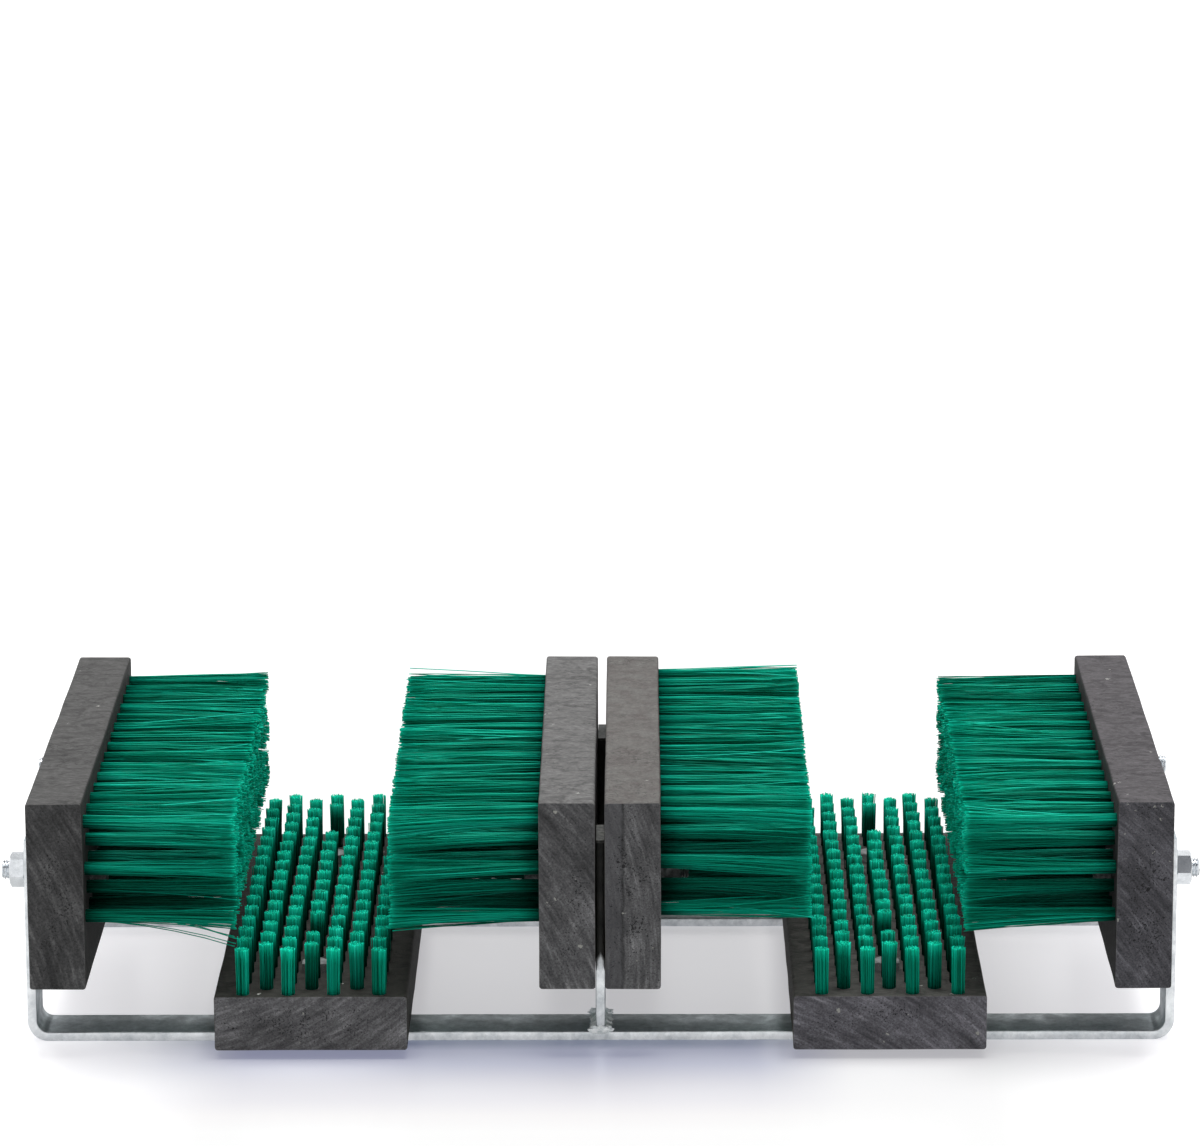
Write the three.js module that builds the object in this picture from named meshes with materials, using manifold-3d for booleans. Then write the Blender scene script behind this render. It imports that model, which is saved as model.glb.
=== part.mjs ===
// Double boot scraper: two brush bays side by side in a frame of galvanised flat bar.
// Millimetres, +Z up. The origin is on the ground, in the middle of the boards.
// X runs across the two bays and Y from the front (-) to the back (+), the way a boot is drawn.

import * as THREE from 'three';
import { mergeGeometries, mergeVertices } from 'three/addons/utils/BufferGeometryUtils.js';
import Module from 'manifold-3d';

const wasm = await Module();
wasm.setup();

// Frame of flat bar, a wide U at the front and another at the rear
const frameWidth = 600;
const barWidth = 30;
const barThickness = 5;
const bendInsideRadius = 6;
const boardPastFrontBar = 45.5;
const boardPastRearBar = 54.5;
const uprightAboveBolt = 19.5;
const weldLeg = 5;

// Boards of recycled plastic, all sawn from one plank
const boardLength = 300;
const boardWidth = 100;
const boardThickness = 29;
const boardEdgeRadius = 2;
const sideBoardFoot = 38;

// Tufts of the side boards
const sideBristleLength = 78;
const lineCount = 5;
const lineStep = 12.7;
const topLineDrop = 12;
const sideColumnStep = 10;
const sideEndMargin = 10;
const rightInnerLift = 3.5;

// A tuft is one strand, or a pair of thinner ones in the lines that show most.
// Strands are fused to a slice of backing that is let into the board.
const strandRootRadius = 3.4;
const strandTipRadius = 4.2;
const strandLean = 1.8;
const strandUnevenness = 1.4;
const pairedLines = 2;
const pairSpacing = 5.6;
const pairThinness = 0.62;
const sliceThickness = 2;
const sliceBorder = 1;
const sliceFit = 0.3;
const tuftToHeadGap = 0.6;

// Bristle pads of the base boards, cut by a plain grid of channels into a block for each tuft
const basePadHeight = 24.4;
const baseBlockWidth = 6.8;
const baseColumnStep = 11.75;
const baseRowStep = 9.3;
const baseEndMargin = 6;
const blocksAcross = 4;
const blockToSeatGap = 0.3;

// M10 fasteners of the side boards
const m10Diameter = 10;
const m10AcrossFlats = 16;
const m10HeadHeight = 6.4;
const m10NutHeight = 8.4;
const m10WasherDiameter = 20;
const m10WasherThickness = 2;
const boltAboveBoardMiddle = 1.5;
const frontThreadPastNut = 4.3;
const rearThreadPastNut = 5.1;

// M8 bolts of the base boards
const m8Diameter = 8;
const m8AcrossFlats = 13;
const m8HeadHeight = 5.3;
const baseBoltAboveGround = 0.5;

// Fits
const holeFit = 0.5;
const nutFit = 0.3;

// Sizes that follow from those above
const frameInside = frameWidth / 2 - barThickness;
const uprightFace = barThickness / 2;
const boltHeight = sideBoardFoot + boardWidth / 2 + boltAboveBoardMiddle;
const uprightTop = boltHeight + uprightAboveBolt;
const frontBarY = -boardLength / 2 + boardPastFrontBar;
const rearBarY = boardLength / 2 - boardPastRearBar;
const barYs = [frontBarY, rearBarY];
const outerBoardFace = frameInside - boardThickness;
const innerBoardFace = uprightFace + boardThickness;
const baseBoardX = frameWidth / 4;
const baseBoardTop = barThickness + boardThickness;
const topLineHeight = sideBoardFoot + boardWidth - topLineDrop;
const m10BoltSeat = m10WasherDiameter / 2;
const m8BoltSeat = m8AcrossFlats / Math.sqrt(3);
const pairReach = pairSpacing / 2 + strandRootRadius * pairThinness;

// Number of flats on everything round
const ROUND = 16;

const galvanised = { color: 0xaab1b3, roughness: 0.5, metalness: 0.85 };
const plastic = { color: 0x4b4a48, roughness: 0.8, metalness: 0 };
const filament = { color: 0x08775a, roughness: 0.55, metalness: 0 };
const zinc = { color: 0xc8cdd1, roughness: 0.35, metalness: 0.9 };

// From a three.js geometry to a solid that can be joined and cut, and back
function solidOf(geometry) {
  const bare = geometry.clone();
  bare.deleteAttribute('normal');
  bare.deleteAttribute('uv');
  const welded = mergeVertices(bare, 1e-4);
  const corners = welded.index.array;
  const triangles = [];
  for (let i = 0; i < corners.length; i += 3) {
    const [a, b, c] = corners.slice(i, i + 3);
    if (a !== b && b !== c && c !== a) {
      triangles.push(a, b, c);
    }
  }
  return new wasm.Manifold(new wasm.Mesh({
    numProp: 3,
    vertProperties: new Float32Array(welded.attributes.position.array),
    triVerts: new Uint32Array(triangles),
  }));
}

function geometryOf(solid) {
  const mesh = solid.getMesh();
  const geometry = new THREE.BufferGeometry();
  geometry.setAttribute('position', new THREE.BufferAttribute(mesh.vertProperties, 3));
  geometry.setIndex(new THREE.BufferAttribute(mesh.triVerts, 1));
  geometry.computeVertexNormals();
  return geometry;
}

// A round rod along X from one x to another
function rodAlongX(radius, fromX, toX, y, z) {
  const rod = new THREE.CylinderGeometry(radius, radius, Math.abs(toX - fromX), ROUND);
  rod.rotateZ(Math.PI / 2);
  rod.translate((fromX + toX) / 2, y, z);
  return solidOf(rod);
}

// A round rod along Z from one z to another
function rodAlongZ(radius, fromZ, toZ, x, y) {
  const rod = new THREE.CylinderGeometry(radius, radius, Math.abs(toZ - fromZ), ROUND);
  rod.rotateX(Math.PI / 2);
  rod.translate(x, y, (fromZ + toZ) / 2);
  return solidOf(rod);
}

// A section drawn in X and Z, given its depth along Y, half to each side of y = 0
function extrudedAlongY(section, depth, curveSegments) {
  const geometry = new THREE.ExtrudeGeometry(section, { depth, bevelEnabled: false, curveSegments });
  geometry.rotateX(Math.PI / 2);
  geometry.translate(0, depth / 2, 0);
  return solidOf(geometry);
}

// What was made pointing along +Y now points along +X or -X, turned about its own axis first
function pointedAlongX(solid, facing, turn = 0) {
  const geometry = geometryOf(solid);
  geometry.rotateY(THREE.MathUtils.degToRad(turn));
  geometry.rotateZ((-facing * Math.PI) / 2);
  return geometry;
}

// Flat bar bent into a U. Each upright has a hole for a side board's bolt, and the base
// has a hole for each base board's bolt.
function frameBar() {
  const half = frameWidth / 2;
  const inner = bendInsideRadius;
  const outer = bendInsideRadius + barThickness;
  const bendX = half - outer;
  const profile = new THREE.Shape();
  profile.moveTo(-half, uprightTop);
  profile.absarc(-bendX, outer, outer, Math.PI, 1.5 * Math.PI, false);
  profile.absarc(bendX, outer, outer, 1.5 * Math.PI, 2 * Math.PI, false);
  profile.lineTo(half, uprightTop);
  profile.lineTo(frameInside, uprightTop);
  profile.absarc(bendX, outer, inner, 0, -0.5 * Math.PI, true);
  profile.absarc(-bendX, outer, inner, -0.5 * Math.PI, -Math.PI, true);
  profile.lineTo(-frameInside, uprightTop);
  let bar = extrudedAlongY(profile, barWidth, 7);
  for (const side of [-1, 1]) {
    const inside = side * (frameInside - 1);
    const outside = side * (half + 1);
    bar = bar.subtract(rodAlongX(m10Diameter / 2 + holeFit, inside, outside, 0, boltHeight));
    bar = bar.subtract(
      rodAlongZ(m8Diameter / 2 + holeFit, -1, barThickness + 1, side * baseBoardX, 0));
  }
  return bar;
}

// Flat bar standing on the middle of a frame bar, with a fillet weld along each side of its foot
function centreUpright() {
  const height = uprightTop - barThickness;
  const post = new THREE.BoxGeometry(barThickness, barWidth, height);
  post.translate(0, 0, barThickness + height / 2);
  const bulge = weldLeg * 0.6;
  const bead = new THREE.Shape();
  bead.moveTo(-uprightFace - weldLeg, barThickness);
  bead.lineTo(uprightFace + weldLeg, barThickness);
  bead.lineTo(uprightFace + bulge, barThickness + bulge);
  bead.lineTo(uprightFace, barThickness + weldLeg);
  bead.lineTo(-uprightFace, barThickness + weldLeg);
  bead.lineTo(-uprightFace - bulge, barThickness + bulge);
  const upright = solidOf(post).add(extrudedAlongY(bead, barWidth, 1));
  return upright.subtract(
    rodAlongX(m10Diameter / 2 + holeFit, -barThickness, barThickness, 0, boltHeight));
}

// A length of plank with rounded long edges, of the given size across X and Z
function plank(acrossX, acrossZ) {
  const r = boardEdgeRadius;
  const x = acrossX / 2 - r;
  const z = acrossZ / 2 - r;
  const section = new THREE.Shape();
  section.absarc(x, -z, r, -0.5 * Math.PI, 0, false);
  section.absarc(x, z, r, 0, 0.5 * Math.PI, false);
  section.absarc(-x, z, r, 0.5 * Math.PI, Math.PI, false);
  section.absarc(-x, -z, r, Math.PI, 1.5 * Math.PI, false);
  return extrudedAlongY(section, boardLength, 3);
}

// Places of a side board's tufts: columns of three and of two by turns.
// A tuft that would stand under a bolt's washer is left out. The lift is how much higher
// than usual a board was drilled.
function sideTufts(lift) {
  const span = boardLength - 2 * sideEndMargin;
  const columns = 2 * Math.round(span / sideColumnStep / 2);
  const tufts = [];
  for (let column = 0; column <= columns; column += 1) {
    const y = -span / 2 + (column * span) / columns;
    for (let line = column % 2; line < lineCount; line += 2) {
      const z = topLineHeight + lift - line * lineStep;
      const reach = line < pairedLines ? pairReach : strandRootRadius;
      const keepClear = m10BoltSeat + sliceFit + tuftToHeadGap + reach;
      if (barYs.every((barY) => Math.hypot(y - barY, z - boltHeight) > keepClear)) {
        tufts.push({ y, z, line });
      }
    }
  }
  return tufts;
}

// A value from -1 to 1 that looks random and is always the same for the same two numbers
function uneven(index, kind) {
  const wave = Math.sin(index * 12.9898 + kind * 78.233) * 43758.5453;
  return 2 * (wave - Math.floor(wave)) - 1;
}

// A square strand that stands on y = 0, its root sunk in the slice. It widens to its tip, and
// the strands of one tuft lean alike.
function strand(thinness, tuftIndex) {
  const sunk = sliceThickness / 2;
  const whole = sunk + sideBristleLength - (strandUnevenness * (1 + uneven(tuftIndex, 3))) / 2;
  const tip = strandTipRadius * thinness;
  const root = strandRootRadius * thinness;
  const geometry = new THREE.CylinderGeometry(tip, root, whole, 4);
  geometry.translate(0, whole / 2, 0);
  const leanX = (strandLean * uneven(tuftIndex, 1)) / whole;
  const leanZ = (strandLean * uneven(tuftIndex, 2)) / whole;
  geometry.applyMatrix4(new THREE.Matrix4().makeShear(0, 0, leanX, leanZ, 0, 0));
  geometry.translate(0, -sunk, 0);
  return geometry;
}

// The slice that a side board's tufts grow from, about x = 0. With a fit, the pocket for it.
function sideSlice(fit, lift) {
  const reach = Math.max(strandRootRadius, pairReach) + sliceBorder + fit;
  const linesHeight = (lineCount - 1) * lineStep;
  const length = boardLength - 2 * sideEndMargin + 2 * reach;
  const box = new THREE.BoxGeometry(sliceThickness, length, linesHeight + 2 * reach);
  box.translate(0, 0, topLineHeight + lift - linesHeight / 2);
  let slice = solidOf(box);
  for (const barY of barYs) {
    const seat = m10BoltSeat + sliceFit - fit;
    slice = slice.subtract(rodAlongX(seat, -sliceThickness, sliceThickness, barY, boltHeight));
  }
  return slice;
}

// A side board about x = 0, with its pocket for the tufts on the side that it faces
function sideBoard(facing, lift) {
  const pocketX = (facing * (boardThickness - sliceThickness)) / 2;
  let board = plank(boardThickness, boardWidth);
  board = board.translate([0, 0, sideBoardFoot + boardWidth / 2]);
  board = board.subtract(sideSlice(sliceFit, lift).translate([pocketX, 0, 0]));
  for (const barY of barYs) {
    board = board.subtract(
      rodAlongX(m10Diameter / 2 + holeFit, -boardThickness, boardThickness, barY, boltHeight));
  }
  return board;
}

// The tufts of a side board whose face is at x = 0, pointing the way that it faces
function sideBristles(facing, seed, lift) {
  const strands = [];
  sideTufts(lift).forEach(({ y, z, line }, index) => {
    const paired = line < pairedLines;
    const offsets = paired ? [-pairSpacing / 2, pairSpacing / 2] : [0];
    for (const offset of offsets) {
      const one = strand(paired ? pairThinness : 1, index + seed);
      one.rotateZ((-facing * Math.PI) / 2);
      one.translate(0, y + offset, z);
      strands.push(one);
    }
  });
  const slice = sideSlice(0, lift).translate([(-facing * sliceThickness) / 2, 0, 0]);
  return solidOf(mergeGeometries(strands)).add(slice).simplify(0.005);
}

// Places of a base pad's blocks: rows of four and of three by turns, so that they stand
// in the gaps of the row before. A block that would stand under a bolt's head is left out.
function baseBlocks() {
  const span = boardLength - 2 * baseEndMargin;
  const rows = Math.round(span / baseRowStep);
  const blocks = [];
  for (let row = 0; row <= rows; row += 1) {
    const y = -span / 2 + (row * span) / rows;
    const across = blocksAcross - (row % 2);
    for (let index = 0; index < across; index += 1) {
      const x = (2 * index - (across - 1)) * baseColumnStep;
      const keepClear = m8BoltSeat + sliceFit + baseBlockWidth / 2 + blockToSeatGap;
      if (barYs.every((barY) => Math.hypot(x, y - barY) > keepClear)) {
        blocks.push({ x, y });
      }
    }
  }
  return blocks;
}

// The slice that a base pad's blocks stand on, its top at z = 0. With a fit, the pocket for it.
function baseSlice(fit) {
  const reach = baseBlockWidth / 2 + sliceBorder + fit;
  const width = 2 * ((blocksAcross - 1) * baseColumnStep + reach);
  const length = boardLength - 2 * baseEndMargin + 2 * reach;
  const box = new THREE.BoxGeometry(width, length, sliceThickness);
  box.translate(0, 0, -sliceThickness / 2);
  let slice = solidOf(box);
  for (const barY of barYs) {
    const seat = m8BoltSeat + sliceFit - fit;
    slice = slice.subtract(rodAlongZ(seat, -sliceThickness - 1, 1, 0, barY));
  }
  return slice;
}

// A base board about x = 0, lying on the frame bars, with its pocket for the slice
function baseBoard() {
  let board = plank(boardWidth, boardThickness);
  board = board.translate([0, 0, barThickness + boardThickness / 2]);
  board = board.subtract(baseSlice(sliceFit).translate([0, 0, baseBoardTop]));
  for (const barY of barYs) {
    board = board.subtract(
      rodAlongZ(m8Diameter / 2 + holeFit, barThickness - 1, baseBoardTop + 1, 0, barY));
  }
  return board;
}

// The bristle pad of a base board about x = 0
function basePad() {
  const sunk = sliceThickness / 2;
  const blocks = baseBlocks().map(({ x, y }) => {
    const block = new THREE.BoxGeometry(baseBlockWidth, baseBlockWidth, basePadHeight + sunk);
    block.translate(x, y, baseBoardTop + (basePadHeight - sunk) / 2);
    return block;
  });
  const slice = baseSlice(0).translate([0, 0, baseBoardTop]);
  return solidOf(mergeGeometries(blocks)).add(slice);
}

// A hexagon on y = 0 with its corners turned down at the top, and at the bottom too on a nut
function hexagon(acrossFlats, height, bothEnds) {
  const corner = acrossFlats / Math.sqrt(3);
  const face = acrossFlats * 0.475;
  const wide = corner * 1.05;
  const drop = (wide - face) * Math.tan(Math.PI / 6);
  const prism = new THREE.CylinderGeometry(corner, corner, height, 6);
  prism.translate(0, height / 2, 0);
  const turned = new THREE.LatheGeometry([
    new THREE.Vector2(0, bothEnds ? 0 : -1),
    new THREE.Vector2(bothEnds ? face : wide, bothEnds ? 0 : -1),
    new THREE.Vector2(wide, bothEnds ? drop : -1 + drop),
    new THREE.Vector2(wide, height - drop),
    new THREE.Vector2(face, height),
    new THREE.Vector2(0, height),
  ], 24);
  return solidOf(prism).intersect(solidOf(turned));
}

// A hexagon bolt: its head stands on y = 0 and its shank runs down from there
function bolt(diameter, acrossFlats, headHeight, length) {
  const radius = diameter / 2;
  const point = radius * 0.16;
  const shank = new THREE.LatheGeometry([
    new THREE.Vector2(0, -length),
    new THREE.Vector2(radius - point, -length),
    new THREE.Vector2(radius, -length + point),
    new THREE.Vector2(radius, headHeight / 2),
    new THREE.Vector2(0, headHeight / 2),
  ], ROUND);
  return hexagon(acrossFlats, headHeight, false).add(solidOf(shank));
}

// A hexagon nut from y = 0 up
function nut(diameter, acrossFlats, height) {
  const radius = diameter / 2 + nutFit;
  const bore = new THREE.CylinderGeometry(radius, radius, 3 * height, ROUND);
  return hexagon(acrossFlats, height, true).subtract(solidOf(bore));
}

// A flat washer from y = 0 up
function washer(boltDiameter, diameter, thickness) {
  const inside = boltDiameter / 2 + holeFit;
  return solidOf(new THREE.LatheGeometry([
    new THREE.Vector2(inside, 0),
    new THREE.Vector2(diameter / 2, 0),
    new THREE.Vector2(diameter / 2, thickness),
    new THREE.Vector2(inside, thickness),
    new THREE.Vector2(inside, 0),
  ], ROUND));
}

const scraper = new THREE.Group();

function place(name, geometry, look, x, y, z) {
  const mesh = new THREE.Mesh(geometry, new THREE.MeshStandardMaterial(look));
  mesh.name = name;
  geometry.translate(x, y, z);
  scraper.add(mesh);
}

const ends = [
  { end: 'front', y: frontBarY, threadPastNut: frontThreadPastNut },
  { end: 'rear', y: rearBarY, threadPastNut: rearThreadPastNut },
];
const sides = [
  { side: 'left', out: -1, innerLift: 0 },
  { side: 'right', out: 1, innerLift: rightInnerLift },
];

// How far each nut happens to be turned about its bolt, in degrees
const nutTurn = { left_front: 18, left_rear: 22, right_front: -26, right_rear: 8, front: 11, rear: 34 };

// The frame
for (const { end, y } of ends) {
  place(`${end}_frame_bar`, geometryOf(frameBar()), galvanised, 0, y, 0);
  place(`${end}_centre_upright`, geometryOf(centreUpright()), galvanised, 0, y, 0);
}

// The boards. An outer board stands against the frame and an inner one against the uprights.
for (const { side, out, innerLift } of sides) {
  const outerX = out * (frameInside - boardThickness / 2);
  const innerX = out * (uprightFace + boardThickness / 2);
  place(`${side}_outer_board`, geometryOf(sideBoard(-out, 0)), plastic, outerX, 0, 0);
  place(`${side}_inner_board`, geometryOf(sideBoard(out, innerLift)), plastic, innerX, 0, 0);
  place(`${side}_base_board`, geometryOf(baseBoard()), plastic, out * baseBoardX, 0, 0);
}

// The bristles of each board
for (const { side, out, innerLift } of sides) {
  const outerField = geometryOf(sideBristles(-out, 100 + out * 100, 0));
  const innerField = geometryOf(sideBristles(out, 500 + out * 100, innerLift));
  place(`${side}_outer_bristles`, outerField, filament, out * outerBoardFace, 0, 0);
  place(`${side}_inner_bristles`, innerField, filament, out * innerBoardFace, 0, 0);
  place(`${side}_base_bristles`, geometryOf(basePad()), filament, out * baseBoardX, 0, 0);
}

// The outer bolts, from the bay out through board and frame to a nut
for (const { end, y, threadPastNut } of ends) {
  for (const { side, out } of sides) {
    const seatX = outerBoardFace - m10WasherThickness;
    const length = frameWidth / 2 + m10NutHeight + threadPastNut - seatX;
    const screw = bolt(m10Diameter, m10AcrossFlats, m10HeadHeight, length);
    const ring = washer(m10Diameter, m10WasherDiameter, m10WasherThickness);
    const hex = nut(m10Diameter, m10AcrossFlats, m10NutHeight);
    const name = `${side}_${end}`;
    place(`${name}_bolt`, pointedAlongX(screw, -out), zinc, out * seatX, y, boltHeight);
    place(`${name}_washer`, pointedAlongX(ring, -out), zinc, out * outerBoardFace, y, boltHeight);
    place(`${name}_nut`, pointedAlongX(hex, out, nutTurn[name]), zinc,
      (out * frameWidth) / 2, y, boltHeight);
  }
}

// The centre bolts, from the left bay through board, upright and board to a nut in the right bay
for (const { end, y, threadPastNut } of ends) {
  const seatX = innerBoardFace + m10WasherThickness;
  const length = 2 * seatX + m10NutHeight + threadPastNut;
  const screw = bolt(m10Diameter, m10AcrossFlats, m10HeadHeight, length);
  const ring = washer(m10Diameter, m10WasherDiameter, m10WasherThickness);
  const hex = nut(m10Diameter, m10AcrossFlats, m10NutHeight);
  place(`centre_${end}_bolt`, pointedAlongX(screw, -1), zinc, -seatX, y, boltHeight);
  place(`centre_${end}_head_washer`, pointedAlongX(ring, -1), zinc, -innerBoardFace, y, boltHeight);
  place(`centre_${end}_nut_washer`, pointedAlongX(ring, 1), zinc, innerBoardFace, y, boltHeight);
  place(`centre_${end}_nut`, pointedAlongX(hex, 1, nutTurn[end]), zinc, seatX, y, boltHeight);
}

// The base bolts, down through board and frame bar
for (const { end, y } of ends) {
  for (const { side, out } of sides) {
    const length = baseBoardTop - baseBoltAboveGround;
    const screw = geometryOf(bolt(m8Diameter, m8AcrossFlats, m8HeadHeight, length));
    screw.rotateX(Math.PI / 2);
    place(`${side}_${end}_base_bolt`, screw, zinc, out * baseBoardX, y, baseBoardTop);
  }
}

export default scraper;
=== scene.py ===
"""A double boot scraper: two brush bays side by side in a frame of galvanised flat bar."""

import math

import bmesh
import bpy
import numpy as np
from mathutils import Matrix, Vector, noise


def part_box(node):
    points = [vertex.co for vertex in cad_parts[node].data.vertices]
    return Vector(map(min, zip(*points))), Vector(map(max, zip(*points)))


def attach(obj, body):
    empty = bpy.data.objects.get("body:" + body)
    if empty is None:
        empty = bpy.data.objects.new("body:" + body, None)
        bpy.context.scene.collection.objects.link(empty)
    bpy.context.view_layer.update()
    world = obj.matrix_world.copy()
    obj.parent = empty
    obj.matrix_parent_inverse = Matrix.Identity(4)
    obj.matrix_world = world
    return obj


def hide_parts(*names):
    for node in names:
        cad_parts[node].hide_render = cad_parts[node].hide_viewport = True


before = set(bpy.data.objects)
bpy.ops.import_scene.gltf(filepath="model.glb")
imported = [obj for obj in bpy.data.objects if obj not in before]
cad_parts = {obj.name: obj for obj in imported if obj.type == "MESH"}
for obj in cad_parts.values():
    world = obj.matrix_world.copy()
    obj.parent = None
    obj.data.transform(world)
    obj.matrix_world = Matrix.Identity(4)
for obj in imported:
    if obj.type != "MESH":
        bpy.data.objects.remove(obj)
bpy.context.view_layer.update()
MM = 0.001


# The camera looks at the front of both bays through a long lens, from just above knee height.
# Its place, tilt and lens were fitted to the straight edges of the boards and of the bars.

def linked(name, data):
    """A new object in the scene."""
    made = bpy.data.objects.new(name, data)
    bpy.context.collection.objects.link(made)
    return made


lens_view = bpy.data.cameras.new("camera")
lens_view.sensor_fit = "HORIZONTAL"
lens_view.sensor_width = 36
lens_view.lens = 170.6
lens_view.clip_end = 50
camera = linked("camera", lens_view)
camera.matrix_world = (
    Matrix.Translation((0.0184, -2.9544, 0.9446))
    @ Matrix.Rotation(math.radians(0.362), 4, "Z")
    @ Matrix.Rotation(math.radians(90 - 13.728), 4, "X")
    @ Matrix.Rotation(math.radians(-0.208), 4, "Z"))
bpy.context.scene.camera = camera


# The studio is a white floor with a slight polish, under one large soft lamp and plain soft light
# from all round. Just in front of the object the floor carries a painted lavender shadow and
# reflection, darkest at the frame's foot.

def feed(tree, socket, value):
    """Links a socket to another one, or sets it to a plain value."""
    if isinstance(value, bpy.types.NodeSocket):
        tree.links.new(value, socket)
    elif socket.type == "RGBA":
        socket.default_value = (*value, 1)
    else:
        socket.default_value = value


def feed_all(tree, node, inputs):
    """Feeds the named inputs of a node."""
    for key, value in inputs.items():
        feed(tree, node.inputs[key], value)


def shader_node(tree, kind, inputs=None, **settings):
    """A node with its settings and its inputs."""
    made = tree.nodes.new("ShaderNode" + kind)
    for key, value in settings.items():
        setattr(made, key, value)
    feed_all(tree, made, inputs or {})
    return made


def new_material(name):
    """A material with only its Principled shader, and the tree to add to."""
    material = bpy.data.materials.new(name)
    material.use_nodes = True
    tree = material.node_tree
    return material, tree, tree.nodes["Principled BSDF"]


def ramp(tree, factor, *stops):
    """A colour ramp from (position, grey or colour) stops."""
    made = shader_node(tree, "ValToRGB", {"Fac": factor})
    elements = made.color_ramp.elements
    while len(elements) < len(stops):
        elements.new(0.5)
    for element, (position, colour) in zip(elements, stops):
        element.position = position
        grey = isinstance(colour, (int, float))
        element.color = (colour, colour, colour, 1) if grey else (*colour, 1)
    return made.outputs["Color"]


def mixed(tree, factor, first, second, blend="MIX"):
    """A colour between two others."""
    return shader_node(tree, "Mix", {0: factor, 6: first, 7: second},
                       data_type="RGBA", blend_type=blend).outputs[2]


def times(tree, first, second):
    """A colour darkened by another."""
    return mixed(tree, 1.0, first, second, "MULTIPLY")


def value_of(tree, operation, *values):
    """One step of arithmetic on values."""
    return shader_node(tree, "Math", dict(enumerate(values)), operation=operation).outputs[0]


def product(tree, first, second):
    """One value times another."""
    return value_of(tree, "MULTIPLY", first, second)


def between(tree, value, low, high, first=0.0, last=1.0):
    """A value that runs from first to last while another runs from low to high."""
    return shader_node(tree, "MapRange", {
        "Value": value, "From Min": low, "From Max": high,
        "To Min": first, "To Max": last}).outputs[0]


def split(tree, vector):
    """The X, Y and Z of a vector."""
    return shader_node(tree, "SeparateXYZ", {"Vector": vector}).outputs


def own_place(tree):
    """Where a point is on its object."""
    return shader_node(tree, "TexCoord").outputs["Object"]


def seen_directly(tree):
    """1 for what the camera sees, also in a reflection or through glass, and 0 for soft light."""
    rays = shader_node(tree, "LightPath").outputs
    mirrored = value_of(tree, "MAXIMUM", rays["Is Camera Ray"], rays["Is Glossy Ray"])
    return value_of(tree, "MAXIMUM", mirrored, rays["Is Transmission Ray"])


bpy.context.scene.view_settings.view_transform = "Standard"

floor_mesh = bpy.data.meshes.new("floor")
floor_mesh.from_pydata(
    [(-12, -6, 0), (12, -6, 0), (12, 18, 0), (-12, 18, 0)], [], [(0, 1, 2, 3)])
floor = linked("floor", floor_mesh)

floor_white, tree, shader = new_material("floor_white")
place = split(tree, own_place(tree))
rays = shader_node(tree, "LightPath").outputs
# Painted shadow and painted reflection: for the camera only, the floor in front of the object,
# most below the left bay, is tinted lavender and is darkest close to the frame
ahead = between(tree, place["Y"], -0.3, -0.115)
painted_floor_shade = ramp(tree, ahead, (0.2, 1.0), (0.335, (0.92, 0.89, 0.91)),
                (0.457, (0.72, 0.7, 0.79)), (0.6, (0.6, 0.59, 0.72)),
                (0.77, (0.49, 0.52, 0.74)), (0.89, (0.5, 0.53, 0.72)),
                (0.95, (0.13, 0.17, 0.32)), (0.98, (0.13, 0.17, 0.32)), (1.0, 1.0))
across = between(tree, place["X"], -0.34, 0.34)
painted_shade_across = ramp(tree, across, (0.08, 0.0), (0.15, 0.25), (0.23, 1.0),
                      (0.62, 1.0), (0.69, 0.15), (0.9, 0.0))
painted_floor_shadow = mixed(tree, product(tree, painted_shade_across, rays["Is Camera Ray"]),
                   (1.0, 1.0, 1.0), painted_floor_shade)

# The floor glows white. Painted light makes it brighter at the sides for the camera, and painted
# shade makes it darker beside the frame's ends, where they mirror it
off_middle = value_of(tree, "ABSOLUTE", place["X"])
painted_side_light = between(tree, off_middle, 0.2, 0.31, 0.0, 0.32)
glow = value_of(tree, "ADD", product(tree, seen_directly(tree), 0.46),
                product(tree, rays["Is Camera Ray"], painted_side_light))
# Painted shade, seen in mirrors only: the floor just beside the frame's ends
painted_mirror_shade = product(tree, between(tree, off_middle, 0.285, 0.3), between(
    tree, value_of(tree, "ABSOLUTE", place["Y"]), 0.1, 0.12, 0.3, 0.0))
painted_mirror_shade = product(tree, painted_mirror_shade, rays["Is Glossy Ray"])
feed_all(tree, shader, {
    "Base Color": (0.57, 0.57, 0.55), "Roughness": 0.27, "IOR": 1.35,
    "Emission Color": times(tree, painted_floor_shadow, (0.97, 0.96, 1.0)),
    "Emission Strength": value_of(tree, "SUBTRACT", glow, painted_mirror_shade)})
floor_mesh.materials.append(floor_white)

# The walls are white, with a dark band above the horizon that only the metal mirrors
world = bpy.data.worlds.new("studio")
bpy.context.scene.world = world
world.use_nodes = True
tree = world.node_tree
upward = split(tree, shader_node(tree, "TexCoord").outputs["Generated"])["Z"]
walls = ramp(tree, upward, (0.57, 1.0), (0.615, (0.008, 0.01, 0.02)),
             (0.74, (0.045, 0.055, 0.085)), (0.84, 1.0))
feed_all(tree, tree.nodes["Background"], {
    "Color": mixed(tree, seen_directly(tree), (0.34, 0.34, 0.34), walls)})

sun = bpy.data.lights.new("overhead", "SUN")
sun.energy = 2.45
sun.angle = math.radians(38)
linked("overhead", sun).rotation_euler = (math.radians(-8), math.radians(3), 0)


# The frame bars are 30 x 5 mm flat bar, sawn square, bent into a wide U and hot-dip galvanised.
# Their broad faces are dull and mottled, and the narrow edges are painted brighter: painted sheen
# on the edges and painted shade on the broad faces.

def facing_of(tree):
    """Which way a point of the surface faces."""
    return shader_node(tree, "NewGeometry").outputs["Normal"]


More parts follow.
